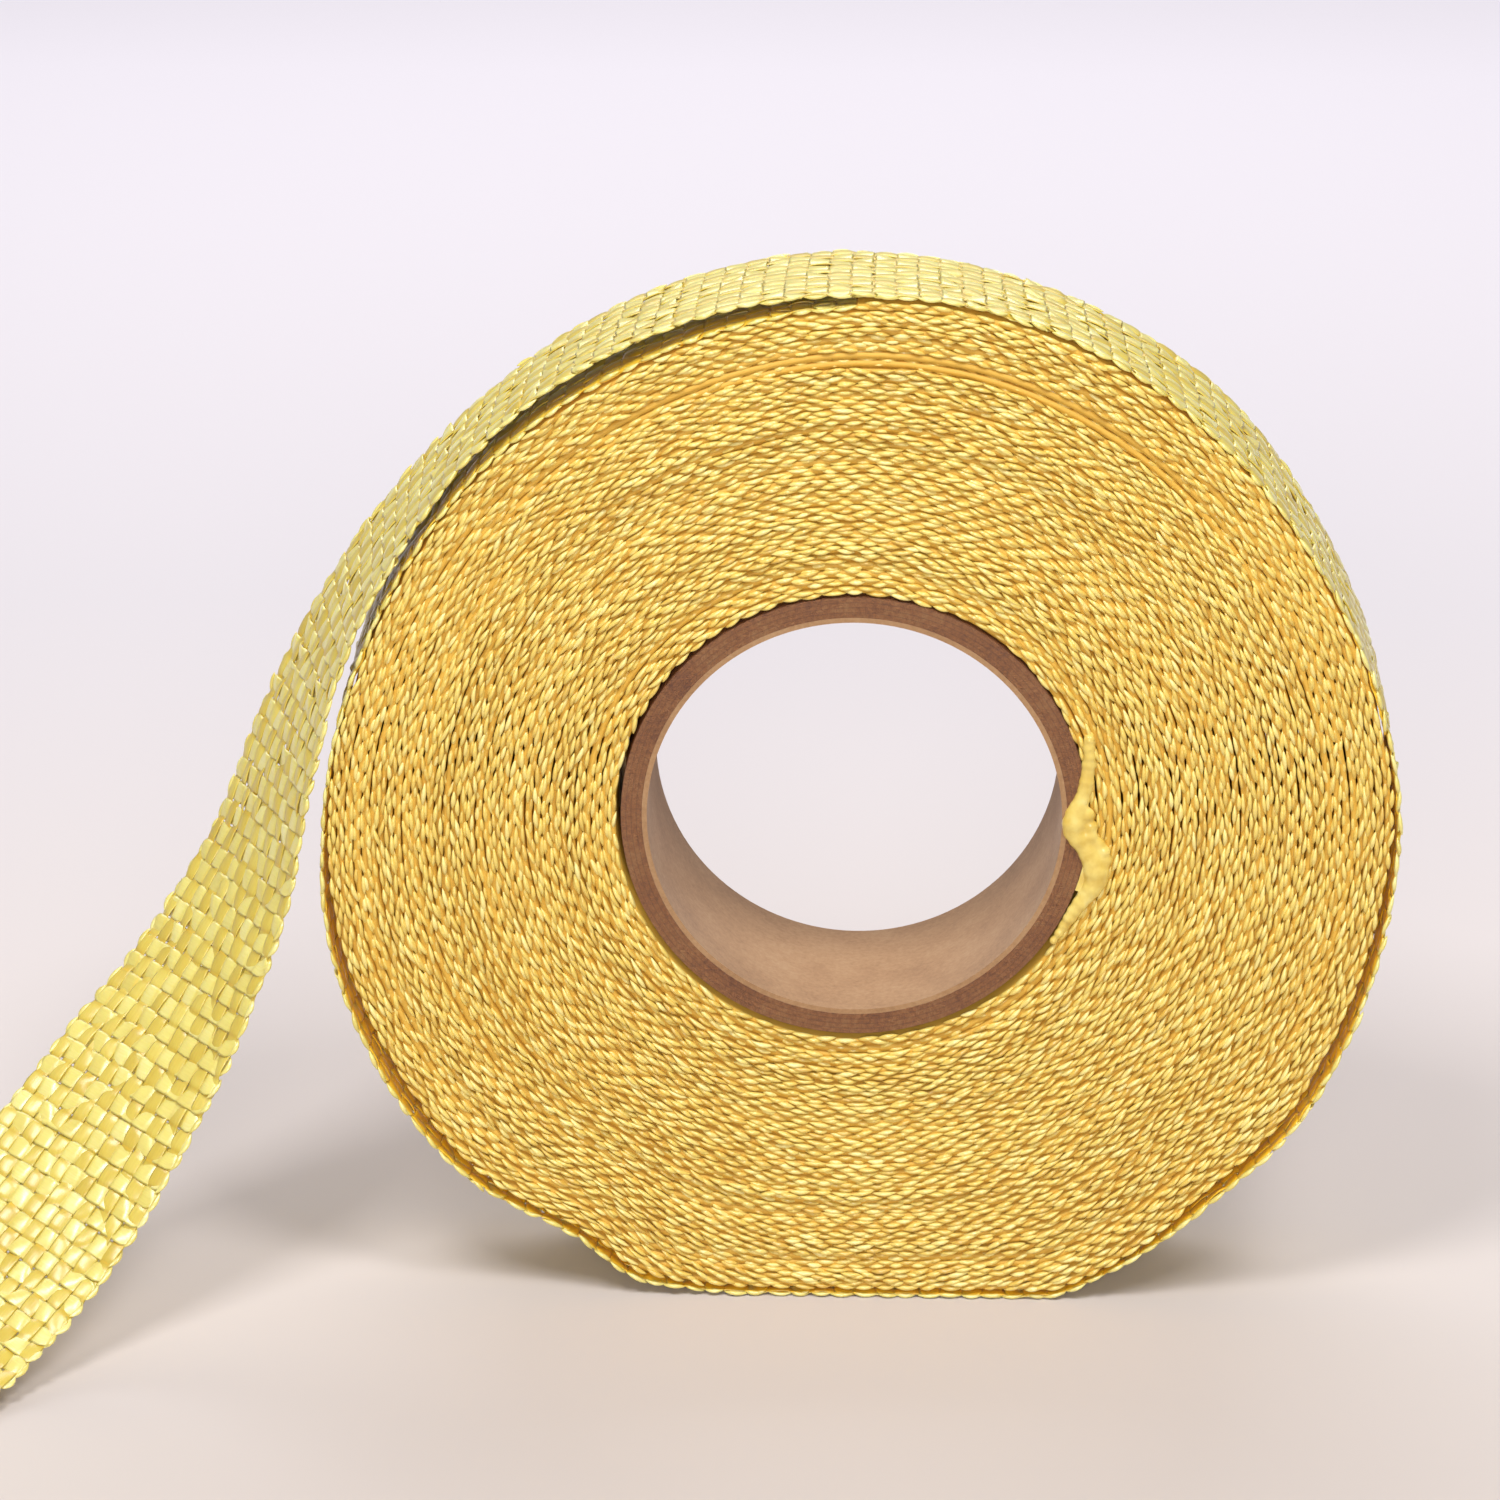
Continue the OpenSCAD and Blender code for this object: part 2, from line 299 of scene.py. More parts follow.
def spindles(C, D, NOR, OUT, seed, half=1.68, high=0.5, deep=0.42, slant=-1.0):
    """Edge loops of the weave: C is their middle, D the way the tape runs, NOR its outer side, OUT out of its edge."""
    r = np.random.default_rng(seed)
    n = len(C)
    al = np.radians(r.normal(slant, 5.5, n))[:, None]
    bend = r.normal(0, 0.07, n)[:, None, None]
    d = unit(D * np.cos(al) - NOR * np.sin(al))
    nor = unit(NOR * np.cos(al) + D * np.sin(al))
    t = np.array([-1, -0.80, -0.42, 0, 0.42, 0.80, 1])
    prof = np.array([0.12, 0.47, 0.87, 1.0, 0.87, 0.47, 0.12])
    L = half * r.uniform(0.82, 1.16, n)
    h = high * r.uniform(0.86, 1.10, n)
    dp = deep * r.uniform(0.85, 1.15, n)
    dive = 0.34 * r.uniform(0.7, 1.3, n)
    P = (C[:, None] + d[:, None] * (t[None] * L[:, None])[..., None]
         - OUT[:, None] * (dive[:, None] * t[None] ** 2)[..., None]
         + NOR[:, None] * bend * (t[None, :, None] ** 2 - 0.4))
    P += NOR[:, None] * r.normal(0, 0.07, n)[:, None, None] + OUT[:, None] * r.normal(0, 0.08, n)[:, None, None]
    P += d[:, None] * r.normal(0, 0.16, n)[:, None, None]
    M = len(t)
    tone = np.clip(r.normal(0.5, 0.22, n), 0, 1)[:, None] * np.ones(M)
    U = (t[None] * L[:, None]) + r.uniform(0, 500, n)[:, None]
    return tubes(P, np.broadcast_to(OUT[:, None], P.shape), np.broadcast_to(nor[:, None], P.shape),
                 dp[:, None] * prof, h[:, None] * prof, U, tone)


def weave(s0, s1, seed):
    """Warp ends and weft picks between two places on the path, both on a pick boundary."""
    r = np.random.default_rng(seed)
    i0, i1 = int(round(s0 / PICK)), int(round(s1 / PICK))
    per = 8
    m = (i1 - i0) * per + 1
    s = np.linspace(i0 * PICK, i1 * PICK, m)
    c, t, w, n = at(s)
    parity = (-1.0) ** np.arange(ENDS)
    x = np.sin(np.pi * s / PICK)
    g = np.tanh(1.9 * x) / np.tanh(1.9)
    h = 0.12 * parity[:, None] * g[None]
    v = (np.arange(ENDS) - (ENDS - 1) / 2) * END
    vv = v[:, None] + np.stack([wander(s + 40, 9, 0.05, 900 + j) for j in range(ENDS)])
    slope = np.gradient(h, s, axis=1)
    be = np.arctan(slope)[..., None]
    P = c[None] + w[None] * vv[..., None] + n[None] * h[..., None]
    NOR = n[None] * np.cos(be) - t[None] * np.sin(be)
    LAT = np.broadcast_to(w[None], P.shape)
    seen = 0.5 + 0.5 * parity[:, None] * g[None]
    a = 0.95 + 0.08 * np.abs(g)[None] * np.ones((ENDS, 1))
    a = a * (1 + np.stack([wander(s + 40, 6, 0.04, 700 + j) for j in range(ENDS)]))
    roll = np.stack([wander(s + 40, 2.6, 0.13, 1300 + j) for j in range(ENDS)])[..., None]
    # Painted shade: where the warp dips under a crossing pick its tone goes below 0, which the material turns toward
    # saturated amber.
    deep = 0.40 * (1 - np.abs(g)) ** 1.5
    LAT, NOR = LAT * np.cos(roll) + NOR * np.sin(roll), NOR * np.cos(roll) - LAT * np.sin(roll)
    tone = np.clip(0.5 + np.stack([wander(s + 40, 5.2, 0.2, 500 + j) for j in range(ENDS)]), 0, 1)
    tone = tone * (1 - deep)[None] - deep[None]
    warp = tubes(P, LAT, NOR, a, 0.14, np.broadcast_to(s[None] + 37 * np.arange(ENDS)[:, None], a.shape), tone, power=0.72)
    # weft
    picks = np.arange(i0, i1)
    sp = (picks + 0.5) * PICK + np.random.default_rng(77).normal(0, 0.06, 4000)[picks]
    q = np.linspace(-12.35, 12.35, ENDS * 7 + 1)
    cx = np.cos(np.pi * (q / END + (ENDS - 1) / 2))
    gx = np.tanh(1.9 * cx) / np.tanh(1.9)
    sign = (-1.0) ** picks
    hw = -0.12 * sign[:, None] * gx[None]
    bow = 0.12 * np.sin(q[None] / 5 + picks[:, None] * 0.05)
    ss = sp[:, None] + bow
    c, t, w, n = at(ss.ravel())
    sh = ss.shape
    c, t, w, n = (A.reshape(sh + (3,)) for A in (c, t, w, n))
    P = c + w * q[None, :, None] + n * hw[..., None]
    be = np.arctan(np.gradient(hw, q, axis=1))[..., None]
    NOR = n * np.cos(be) - w * np.sin(be)
    rr = np.random.default_rng(78)
    roll = np.stack([wander(q + 14, 1.8, 0.13, 2000 + int(i)) for i in picks])[..., None]
    LATW = t * np.cos(roll) + NOR * np.sin(roll)
    NOR = NOR * np.cos(roll) - t * np.sin(roll)
    wide = (1.29 + 0.07 * np.abs(gx))[None] * (1 + 0.04 * rr.normal(0, 1, 4000)[picks])[:, None]
    wide = wide * (1 - 0.35 * np.clip((np.abs(q) - 11.6) / 0.75, 0, 1))[None]
    tone = np.clip(0.5 + 0.2 * rr.normal(0, 1, (4000, ENDS + 2))[picks][:, np.clip(np.round(q / END + (ENDS - 1) / 2).astype(int), 0, ENDS - 1)], 0, 1)
    # Painted shade: where the weft dips under a crossing end its tone goes below 0, which the material turns toward
    # saturated amber.
    deep = 0.40 * (1 - np.abs(gx)) ** 1.5
    tone = tone * (1 - deep)[None] - deep[None]
    weft = tubes(P, LATW, NOR, wide, 0.135, np.broadcast_to(q[None] + 61 * (picks[:, None] % 50), sh), tone, power=0.72)
    # the weft's turns round the last warp end, on both edges
    se = (picks + 0.5) * PICK
    c, t, w, n = at(se)
    loops = []
    for side in (-1, 1):
        y = 12.42 + wander(se + 40, 20, 0.06, 300 + side)
        loops.append(spindles(c + w * (side * y)[:, None], t, n, w * side, seed + side + 5,
                              half=1.45, high=0.30, deep=0.42))
    return warp, merge([weft] + loops)


def shade_amber(part, path_tone=True):
    """Marks what is tucked under another turn, and the loose turn's front strip under the wrap, by a tone below 0:
    painted shade, a saturated amber standing in for light shining through the yarn into these shaded places.
    """
    V, F, U, C = part
    rad = np.hypot(V[:, 0], V[:, 2])
    a = np.degrees(np.arctan2(V[:, 2], V[:, 0])) % 360
    mid_ = loose_radius(np.where(a < 90, a + 360, a)) - T / 2
    inner = np.clip((mid_ - 0.05 - rad) / 0.1, 0, 1)
    under = np.clip((a - 92) / 6, 0, 1) * np.clip((160 - a) / 8, 0, 1) * np.clip((-5 - V[:, 1]) / 4, 0, 0.7) * (V[:, 1] > -12.3)
    k = np.maximum(inner * (np.abs(V[:, 1]) < 12.35), under)
    return V, F, U, C * (1 - k) - k


# ---------------------------------------------------------------- materials
def nodes_of(name):
    m = bpy.data.materials.new(name)
    m.use_nodes = True
    nt = m.node_tree
    b = nt.nodes["Principled BSDF"]
    return m, nt, b


def N(nt, kind, **values):
    n = nt.nodes.new(kind)
    for k, v in values.items():
        setattr(n, k, v)
    return n


def ramp(nt, stops):
    r = N(nt, "ShaderNodeValToRGB")
    e = r.color_ramp.elements
    e[0].position, e[0].color = stops[0][0], (*stops[0][1], 1)
    e[1].position, e[1].color = stops[-1][0], (*stops[-1][1], 1)
    for p, c in stops[1:-1]:
        x = e.new(p)
        x.color = (*c, 1)
    return r


def lin(r, g, b):
    return tuple(((c / 255 + 0.055) / 1.055) ** 2.4 if c > 10 else c / 3294.6 for c in (r, g, b))


def yarn_material(name, dark, mid, light, rough=0.34, aniso=0.8, bump=0.5, glow=0.0, spec=0.5, coat=0.0):
    m, nt, b = nodes_of(name)
    L = nt.links.new
    tone = N(nt, "ShaderNodeAttribute", attribute_name="tone")
    uv = N(nt, "ShaderNodeUVMap", uv_map="yarn")
    stretch = N(nt, "ShaderNodeMapping")
    stretch.inputs["Scale"].default_value = (0.35, 5.0, 1.0)
    L(uv.outputs[0], stretch.inputs[0])
    fil = N(nt, "ShaderNodeTexNoise")
    fil.inputs["Scale"].default_value = 1.0
    fil.inputs["Detail"].default_value = 3.0
    fil.inputs["Roughness"].default_value = 0.6
    L(stretch.outputs[0], fil.inputs["Vector"])
    mix = N(nt, "ShaderNodeMath", operation="MULTIPLY_ADD")
    mix.inputs[1].default_value = 0.55
    L(fil.outputs["Fac"], mix.inputs[0])
    sc = N(nt, "ShaderNodeMath", operation="MULTIPLY_ADD")
    sc.inputs[1].default_value = 0.6
    sc.inputs[2].default_value = -0.08
    L(tone.outputs["Fac"], sc.inputs[0])
    L(sc.outputs[0], mix.inputs[2])
    cr = ramp(nt, [(0.1, dark), (0.5, mid), (0.9, light)])
    L(mix.outputs[0], cr.inputs[0])
    # A tone below 0 mixes the colour toward a saturated amber: painted shade, standing in for light shining through the
    # yellow yarn into crevices and under the wrap.
    neg = N(nt, "ShaderNodeMapRange")
    neg.inputs["From Min"].default_value = 0.0
    neg.inputs["From Max"].default_value = -1.0
    L(tone.outputs["Fac"], neg.inputs["Value"])
    painted_shade_amber = N(nt, "ShaderNodeMix", data_type="RGBA")
    L(neg.outputs[0], painted_shade_amber.inputs["Factor"])
    L(cr.outputs[0], painted_shade_amber.inputs[6])
    painted_shade_amber.inputs[7].default_value = (*lin(255, 202, 44), 1)
    L(painted_shade_amber.outputs[2], b.inputs["Base Color"])
    bp = N(nt, "ShaderNodeBump")
    bp.inputs["Strength"].default_value = bump
    bp.inputs["Distance"].default_value = 0.00006
    L(fil.outputs["Fac"], bp.inputs["Height"])
    L(bp.outputs[0], b.inputs["Normal"])
    tan = N(nt, "ShaderNodeTangent", direction_type="UV_MAP", uv_map="yarn")
    L(tan.outputs[0], b.inputs["Tangent"])
    b.inputs["Roughness"].default_value = rough
    b.inputs["Anisotropic"].default_value = aniso
    b.inputs["Anisotropic Rotation"].default_value = 0.25
    b.inputs["Specular IOR Level"].default_value = spec
    b.inputs["Subsurface Weight"].default_value = glow
    b.inputs["Subsurface Radius"].default_value = (1.0, 0.55, 0.10)
    b.inputs["Subsurface Scale"].default_value = 0.0012
    b.inputs["Coat Weight"].default_value = coat
    b.inputs["Coat Roughness"].default_value = 0.28
    b.inputs["Sheen Weight"].default_value = 0.10
    b.inputs["Sheen Roughness"].default_value = 0.4
    b.inputs["Sheen Tint"].default_value = (1.0, 0.95, 0.7, 1)
    return m


tape_edge = yarn_material("woven_tape_edge", lin(212, 167, 62), lin(234, 205, 99), lin(248, 233, 152), rough=0.30, spec=0.9, coat=0.2)
# The weft's colours are paler than the warp's: painted highlight, the white the weft floats catch from the lamps.
tape_warp = yarn_material("woven_tape_warp", lin(200, 170, 58), lin(216, 190, 78), lin(231, 211, 108), rough=0.30, spec=0.8, glow=0.15, coat=0.25)
tape_weft = yarn_material("woven_tape_weft", lin(217, 196, 94), lin(233, 216, 117), lin(246, 235, 158), rough=0.30, spec=1.0, glow=0.15, coat=0.45)
# The ground ribbon is the tape's body behind the edge loops; its deeper amber is partly painted shade of the gaps
# between them.
ground = yarn_material("woven_tape_ground", lin(204, 152, 50), lin(220, 172, 64), lin(232, 188, 80), rough=0.6, aniso=0.0)


def board_material(name, dark, mid, light, end=False, liner=False):
    """Paper board. end: the cut plies show fibres and dark lines at r = ply boundaries."""
    m, nt, b = nodes_of(name)
    L = nt.links.new
    co = N(nt, "ShaderNodeTexCoord")
    big = N(nt, "ShaderNodeTexNoise")
    big.inputs["Scale"].default_value = 160.0
    big.inputs["Detail"].default_value = 4.0
    L(co.outputs["Object"], big.inputs["Vector"])
    fine = N(nt, "ShaderNodeTexNoise")
    fine.inputs["Scale"].default_value = 1500.0
    fine.inputs["Detail"].default_value = 5.0
    fine.inputs["Roughness"].default_value = 0.7
    L(co.outputs["Object"], fine.inputs["Vector"])
    # fibres: voronoi cells drawn out
    vo = N(nt, "ShaderNodeTexVoronoi", feature="DISTANCE_TO_EDGE")
    vo.inputs["Scale"].default_value = 900.0
    wob = N(nt, "ShaderNodeVectorMath", operation="MULTIPLY_ADD")
    wob.inputs[1].default_value = (0.003, 0.003, 0.003)
    L(fine.outputs["Color"], wob.inputs[0])
    L(co.outputs["Object"], wob.inputs[2])
    L(wob.outputs[0], vo.inputs["Vector"])
    a = N(nt, "ShaderNodeMath", operation="MULTIPLY_ADD")
    a.inputs[1].default_value = 0.55
    L(big.outputs["Fac"], a.inputs[0])
    a2 = N(nt, "ShaderNodeMath", operation="MULTIPLY_ADD")
    a2.inputs[1].default_value = 0.75
    a2.inputs[2].default_value = -0.15
    L(fine.outputs["Fac"], a2.inputs[0])
    L(a2.outputs[0], a.inputs[2])
    cr = ramp(nt, [(0.25, dark), (0.52, mid), (0.8, light)])
    L(a.outputs[0], cr.inputs[0])
    colour = cr.outputs[0]
    height = fine.outputs["Fac"]
    if end:
        sep = N(nt, "ShaderNodeSeparateXYZ")
        L(co.outputs["Object"], sep.inputs[0])
        sq = [N(nt, "ShaderNodeMath", operation="MULTIPLY") for _ in range(2)]
        for n_, ax in zip(sq, ("X", "Z")):
            L(sep.outputs[ax], n_.inputs[0])
            L(sep.outputs[ax], n_.inputs[1])
        add = N(nt, "ShaderNodeMath", operation="ADD")
        L(sq[0].outputs[0], add.inputs[0])
        L(sq[1].outputs[0], add.inputs[1])
        rad = N(nt, "ShaderNodeMath", operation="SQRT")
        L(add.outputs[0], rad.inputs[0])
        wav = N(nt, "ShaderNodeMath", operation="MULTIPLY_ADD")
        wav.inputs[1].default_value = 0.00035
        L(big.outputs["Fac"], wav.inputs[0])
        L(rad.outputs[0], wav.inputs[2])
        ph = N(nt, "ShaderNodeMath", operation="MULTIPLY_ADD")
        ph.inputs[1].default_value = 2 * math.pi / 0.00064
        ph.inputs[2].default_value = -2 * math.pi * 0.0256 / 0.00064
        L(wav.outputs[0], ph.inputs[0])
        co2 = N(nt, "ShaderNodeMath", operation="COSINE")
        L(ph.outputs[0], co2.inputs[0])
        rr = N(nt, "ShaderNodeMapRange")
        rr.inputs["From Min"].default_value = 0.55
        rr.inputs["From Max"].default_value = 1.0
        rr.inputs["To Min"].default_value = 0.0
        rr.inputs["To Max"].default_value = 0.3
        L(co2.outputs[0], rr.inputs["Value"])
        mx = N(nt, "ShaderNodeMix", data_type="RGBA", blend_type="MULTIPLY")
        L(rr.outputs[0], mx.inputs["Factor"])
        L(colour, mx.inputs[6])
        mx.inputs[7].default_value = (*lin(170, 112, 60), 1)
        colour = mx.outputs[2]
    L(colour, b.inputs["Base Color"])
    bp = N(nt, "ShaderNodeBump")
    bp.inputs["Strength"].default_value = 0.9 if end else 0.35
    bp.inputs["Distance"].default_value = 0.00025 if end else 0.0001
    hs = N(nt, "ShaderNodeMath", operation="MULTIPLY_ADD")
    hs.inputs[1].default_value = 300.0
    L(vo.outputs["Distance"], hs.inputs[0])
    L(height, hs.inputs[2])
    L(hs.outputs[0] if end else height, bp.inputs["Height"])
    L(bp.outputs[0], b.inputs["Normal"])
    b.inputs["Roughness"].default_value = 0.85
    b.inputs["Specular IOR Level"].default_value = 0.25
    b.inputs["Sheen Weight"].default_value = 0.15
    b.inputs["Sheen Roughness"].default_value = 0.6
    return m


board = board_material("core_board", lin(150, 78, 30), lin(212, 132, 62), lin(240, 178, 110), end=True)
kraft = board_material("core_kraft_liner", lin(144, 106, 70), lin(166, 127, 88), lin(180, 146, 108), end=False)


def bond_material():
    m, nt, b = nodes_of("hardened_bond")
    L = nt.links.new
    co = N(nt, "ShaderNodeTexCoord")
    n1 = N(nt, "ShaderNodeTexNoise")
    n1.inputs["Scale"].default_value = 500.0
    n1.inputs["Detail"].default_value = 3.0
    L(co.outputs["Object"], n1.inputs["Vector"])
    cr = ramp(nt, [(0.3, lin(214, 178, 74)), (0.6, lin(232, 206, 110)), (0.8, lin(240, 222, 140))])
    L(n1.outputs["Fac"], cr.inputs[0])
    L(cr.outputs[0], b.inputs["Base Color"])
    bp = N(nt, "ShaderNodeBump")
    bp.inputs["Strength"].default_value = 0.25
    bp.inputs["Distance"].default_value = 0.0002
    L(n1.outputs["Fac"], bp.inputs["Height"])
    L(bp.outputs[0], b.inputs["Normal"])
    b.inputs["Roughness"].default_value = 0.28
    b.inputs["Coat Weight"].default_value = 0.3
    b.inputs["Coat Roughness"].default_value = 0.15
    return m


bond = bond_material()

# ---------------------------------------------------------------- the core
for name in ("core_inner_liner", "core_ply_inner", "core_ply_middle", "core_ply_outer", "core_outer_liner"):
    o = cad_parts[name]
    o.data.materials.clear()
    o.data.materials.append(kraft if "liner" in name and "inner" in name else board)
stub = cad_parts["tape_start_stub"]
stub.data.materials.clear()
stub.data.materials.append(bond)

# ---------------------------------------------------------------- the wound pack
u = np.arange(0.0, PEND + 0.01, 0.5)
R = pack_radius(u) - T / 2
X, Z = R * np.cos(np.radians(u)), R * np.sin(np.radians(u))
arc = np.concatenate([[0], np.cumsum(np.hypot(np.diff(X), np.diff(Z)))])
GROUPS = (("inner", 0, 360 * 12), ("middle", 360 * 12, 360 * 24), ("outer", 360 * 24, PEND))
LOOP = 2.66
mid_s = np.arange(LOOP / 2, arc[-1] - 0.5, LOOP)


def pack_loops(s, side):
    seed = 20 if side < 0 else 50
    s = s + wander(s, 60, 0.5, seed)
    uu = np.interp(s, arc, u)
    r = np.interp(s, arc, R) + wander(s, 13, 0.085, seed + 1)
    th = np.radians(uu)
    m = PEND / 360 - uu / 360
    deg = uu % 360
    dd = (deg - 80 + 180) % 360 - 180
    y = 12.42 + wander(s, 24, 0.10, seed + 2) + wander(s, 170, 0.16, seed + 3)
    y = y - 0.75 * np.exp(-(((m - 6.3) / 1.5) ** 2)) * np.exp(-((dd / 48) ** 2))
    y = np.minimum(y, 12.72)
    tt = np.stack([-np.sin(th), 0 * th, np.cos(th)], 1)
    nn = np.stack([np.cos(th), 0 * th, np.sin(th)], 1)
    P = nn * r[:, None]
    P[:, 1] = side * y
    out = np.tile([0, side, 0], (len(s), 1)).astype(float)
    return P, tt, nn, out, uu


for g, (name, a0, a1) in enumerate(GROUPS):
    # the tape's ground, just behind its edges; its deeper amber colour is partly painted shade, the colour of the
    # shaded gaps between the loops
    ua = np.arange(a0, a1 + 0.01, 3.0)
    ra = pack_radius(ua) - T / 2
    th = np.radians(ua)
    nn = np.stack([np.cos(th), 0 * th, np.sin(th)], 1)
    P = nn * ra[:, None]
    rings = []
    for sy, sr in ((-1, 0.36), (1, 0.36), (1, -0.36), (-1, -0.36)):
        q = P + nn * sr
        q[:, 1] = sy * 12.25
        rings.append(q)
    V = np.stack(rings, 1).reshape(-1, 3)
    n = len(ua)
    i = np.arange(n - 1)[:, None] * 4
    k = np.arange(4)
    F = np.stack([i + k, i + (k + 1) % 4, i + 4 + (k + 1) % 4, i + 4 + k], -1).reshape(-1, 4)
    F = np.concatenate([F, [[3, 2, 1, 0]], [[4 * n - 4, 4 * n - 3, 4 * n - 2, 4 * n - 1]]])
    sa = np.interp(ua, u, arc)
    vy = np.array([0, 23.8, 24.3, 48.1])
    uvq = np.stack([np.stack([np.repeat(sa[j], 4), vy], -1) for j in (0,)], 0)
    su0, su1 = sa[:-1, None], sa[1:, None]
    va, vb = vy[k], np.array([23.8, 24.3, 48.1, 48.6])[k]
    uv = np.stack([np.stack([su0 + 0 * va, va + 0 * su0], -1), np.stack([su0 + 0 * vb, vb + 0 * su0], -1),
                   np.stack([su1 + 0 * vb, vb + 0 * su1], -1), np.stack([su1 + 0 * va, va + 0 * su1], -1)], -2).reshape(-1, 2)
    uv = np.concatenate([uv, np.zeros((8, 2))])
    ribbon = build(f"wound_turns_{name}", lean(V), F[:, ::-1], uv.reshape(-1, 4, 2)[:, ::-1].reshape(-1, 2), np.full(len(V), 0.5), ground)
    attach(ribbon, "roll")
    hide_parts(f"tape_turns_{name}")
    lo, hi = np.interp([a0, a1], u, arc)
    for side, word in ((-1, "front"), (1, "rear")):
        s = mid_s[(mid_s >= lo) & (mid_s < hi)]
        P, tt, nn, out, uu = pack_loops(s, side)
        part = spindles(P + nn * 0.27, tt, nn, out, 1000 + 10 * g + side, half=1.36, high=0.31, deep=0.44)
        o = build(f"wound_turns_{name}_{word}_loops", lean(part[0]), *part[1:], tape_edge)
        s2 = s + LOOP / 2
        P, tt, nn, out, uu = pack_loops(np.minimum(s2, arc[-1] - 0.1), side)
        part = spindles(P - nn * 0.27, tt, nn, out, 3000 + 10 * g + side, half=1.36, high=0.30, deep=0.42)
        o2 = build(f"wound_turns_{name}_{word}_binders", lean(part[0]), *part[1:], tape_edge)
        for o in (o, o2):
            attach(o, "roll")

# ---------------------------------------------------------------- the woven outer tape
def on_pick(s):
    return round(s / PICK) * PICK


cuts = [0.0, on_pick(s_at(270)), on_pick(s_at(420)), on_pick(s_at(472)), on_pick(s_at(1003.5)),
        on_pick(s_at(1006.5)), int((s_at(1010) - 1.2) / PICK) * PICK]
stretches = [
    ("loose_turn_left", "roll", None, None, ["tape_loose_turn"]),
    ("loose_turn_right", "roll", None, None, []),
    ("peel_bend_cloth", "roll", "peeling_wrap", s_at(450), ["tape_peel_wrap"]),
    ("upper_bend_cloth", "peeling_wrap", "upper_tail", s_at(1002), ["tail_upper"]),
    ("lower_bend_cloth", "upper_tail", "lower_tail", s_at(1005), ["tail_lower"]),
    ("foot_bend_cloth", "lower_tail", "tail_end", s_at(1008), ["tail_foot"]),
]
for i, (name, a, b, hinge, nodes) in enumerate(stretches):
    warp, weft = weave(cuts[i], cuts[i + 1], 40 + i)
    # Painted shade: the loose turn's tucked-under faces and its strip under the wrap turn saturated amber.
    if i < 2:
        warp, weft = shade_amber(warp), shade_amber(weft)
    warp, weft = (lean(warp[0]),) + warp[1:], (lean(weft[0]),) + weft[1:]
    ow = build(name + "_warp", *warp, tape_warp)
    of_ = build(name + "_weft", *weft, tape_weft)
    for o in (ow, of_):
        if b is None:
            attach(o, a)
        else:
            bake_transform(o)
    if nodes:
        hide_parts(*nodes)

# ---------------------------------------------------------------- the cut end, sealed
cut_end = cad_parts["tail_cut_end"]
cut_end.data.materials.clear()
cut_end.data.materials.append(bond)

DROPS = [(28.5, 10.6, 0.8), (28.5, 9.5, 0.9), (28.6, 8.4, 0.85), (28.5, 7.3, 1.0), (28.4, 6.2, 0.95), (28.3, 5.1, 1.05),
         (28.1, 4.0, 1.05), (27.8, 2.9, 1.1), (27.4, 1.8, 1.25), (27.0, 0.8, 1.4), (26.8, -0.3, 1.55), (26.9, -1.4, 1.5),
         (27.5, -2.4, 1.4), (28.2, -3.3, 1.35), (28.8, -4.3, 1.45), (29.4, -5.4, 1.6), (29.7, -6.6, 1.7), (29.7, -7.8, 1.55),
         (29.2, -8.9, 1.35), (28.5, -9.9, 1.2), (27.8, -10.9, 1.1), (27.1, -11.9, 1.0), (26.5, -12.9, 0.9), (25.9, -13.9, 0.8),
         (25.3, -14.9, 0.7), (24.6, -15.9, 0.6), (29.9, -3.0, 0.9), (30.6, -4.0, 0.9), (30.9, -5.2, 0.85), (28.5, 0.8, 1.0),
         (28.9, -0.8, 1.0), (28.9, -2.0, 1.0)]


def melt(name, drops, material):
    """One smooth lump, run together from drops on the front face."""
    r = np.random.default_rng(9)
    V, F = [], []
    m, K = 9, 14
    for q, (x, z, size) in enumerate(drops):
        la = np.pi * np.arange(m) / (m - 1) - np.pi / 2
        lo = 2 * np.pi * np.arange(K) / K
        p = np.stack([np.cos(la)[:, None] * np.cos(lo), np.sin(la)[:, None] + 0 * lo, np.cos(la)[:, None] * np.sin(lo)], -1)
        p = p.reshape(-1, 3) * np.array([size, 0.45 + 0.35 * size, size])
        p += np.array([x, -12.45 - 0.12 * size + r.normal(0, 0.05), z])
        n = len(V) * m * K
        for i in range(m - 1):
            for k in range(K):
                F.append([n + i * K + k, n + (i + 1) * K + k, n + (i + 1) * K + (k + 1) % K, n + i * K + (k + 1) % K])
        V.append(p)
    me = bpy.data.meshes.new(name + "_drops")
    me.from_pydata((np.concatenate(V) * 0.001).tolist(), [], F)
    o = bpy.data.objects.new(name + "_drops", me)
    scene.collection.objects.link(o)
    rm = o.modifiers.new("melt", "REMESH")
    rm.mode = "VOXEL"
    rm.voxel_size = 0.00016
    sm = o.modifiers.new("smooth", "SMOOTH")
    sm.factor = 0.5
    sm.iterations = 26
    done = bpy.data.meshes.new_from_object(o.evaluated_get(bpy.context.evaluated_depsgraph_get()))
    bpy.data.objects.remove(o)
    bpy.data.meshes.remove(me)
    done.name = name
    done.materials.clear()
    done.materials.append(material)
    done.polygons.foreach_set("use_smooth", np.full(len(done.polygons), True))
    out = bpy.data.objects.new(name, done)
    scene.collection.objects.link(out)
    return out


lump = melt("start_bond_melt", DROPS, bond)
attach(lump, "roll")
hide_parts("start_bond_beads")

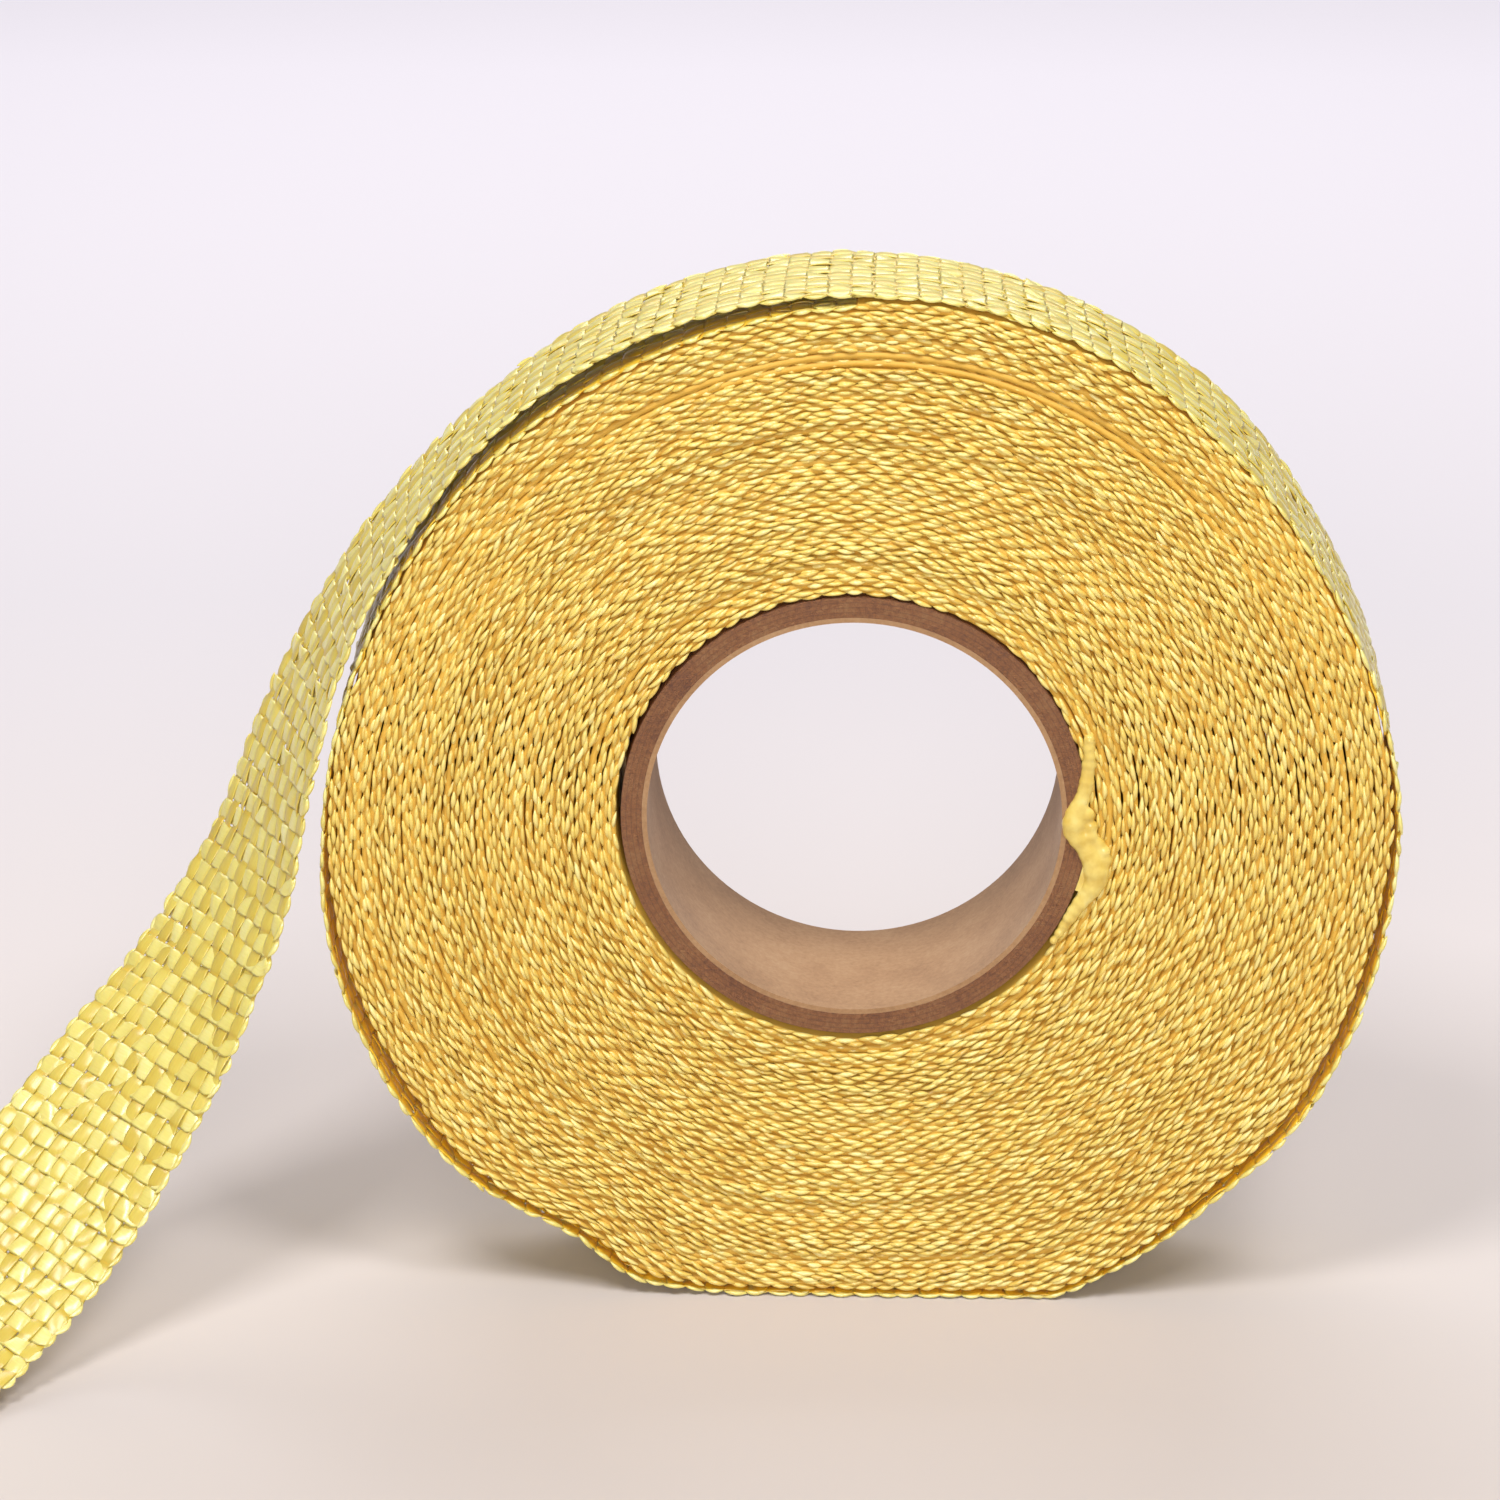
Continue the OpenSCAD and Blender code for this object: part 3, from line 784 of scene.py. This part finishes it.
# ---------------------------------------------------------------- floor and light
def floor():
    me = bpy.data.meshes.new("floor")
    w = 4.0
    me.from_pydata([(-w, -w, -0.065), (w, -w, -0.065), (w, w, -0.065), (-w, w, -0.065)], [], [(0, 1, 2, 3)])
    o = bpy.data.objects.new("floor", me)
    scene.collection.objects.link(o)
    m, nt, b = nodes_of("floor")
    L = nt.links.new
    co = N(nt, "ShaderNodeTexCoord")
    sep = N(nt, "ShaderNodeSeparateXYZ")
    L(co.outputs["Object"], sep.inputs[0])
    # The floor runs from a darker, warm grey at the front to a pale lilac white at the back: painted light falloff
    # across the floor, with the warm tint at the front partly painted bounce light from the yellow roll.
    mr = N(nt, "ShaderNodeMapRange")
    mr.inputs["From Min"].default_value = -0.10
    mr.inputs["From Max"].default_value = 0.60
    L(sep.outputs["Y"], mr.inputs["Value"])
    cr = ramp(nt, [(0.0, lin(201, 191, 185)), (0.25, lin(214, 205, 203)), (0.5, lin(218, 212, 216)), (1.0, lin(244, 238, 246))])
    L(mr.outputs[0], cr.inputs[0])
    L(cr.outputs[0], b.inputs["Base Color"])
    b.inputs["Roughness"].default_value = 0.6
    b.inputs["Specular IOR Level"].default_value = 0.2
    me.materials.append(m)


floor()
world = bpy.data.worlds.new("world")
scene.world = world
world.use_nodes = True
bg = world.node_tree.nodes["Background"]
bg.inputs["Color"].default_value = (0.97, 0.96, 1.0, 1)
bg.inputs["Strength"].default_value = 0.33


def area(name, place, target, size, power, colour=(1, 1, 1)):
    d = bpy.data.lights.new(name, "AREA")
    d.shape = "RECTANGLE"
    d.size, d.size_y = size
    d.energy = power
    d.color = colour
    o = bpy.data.objects.new(name, d)
    o.location = place
    o.rotation_euler = (Vector(target) - Vector(place)).to_track_quat("-Z", "Y").to_euler()
    scene.collection.objects.link(o)


area("key_left", (-0.26, -0.42, 0.80), (0, 0, 0), (0.26, 0.26), 4.2)
area("key_right", (0.30, -0.40, 0.78), (0, 0, 0), (0.26, 0.26), 3.6)
area("front_fill", (0.0, -1.25, 0.42), (0, 0, 0), (0.40, 0.30), 5.4)
area("top_back", (-0.05, 0.62, 0.62), (0, 0, 0), (0.9, 0.35), 3.6)
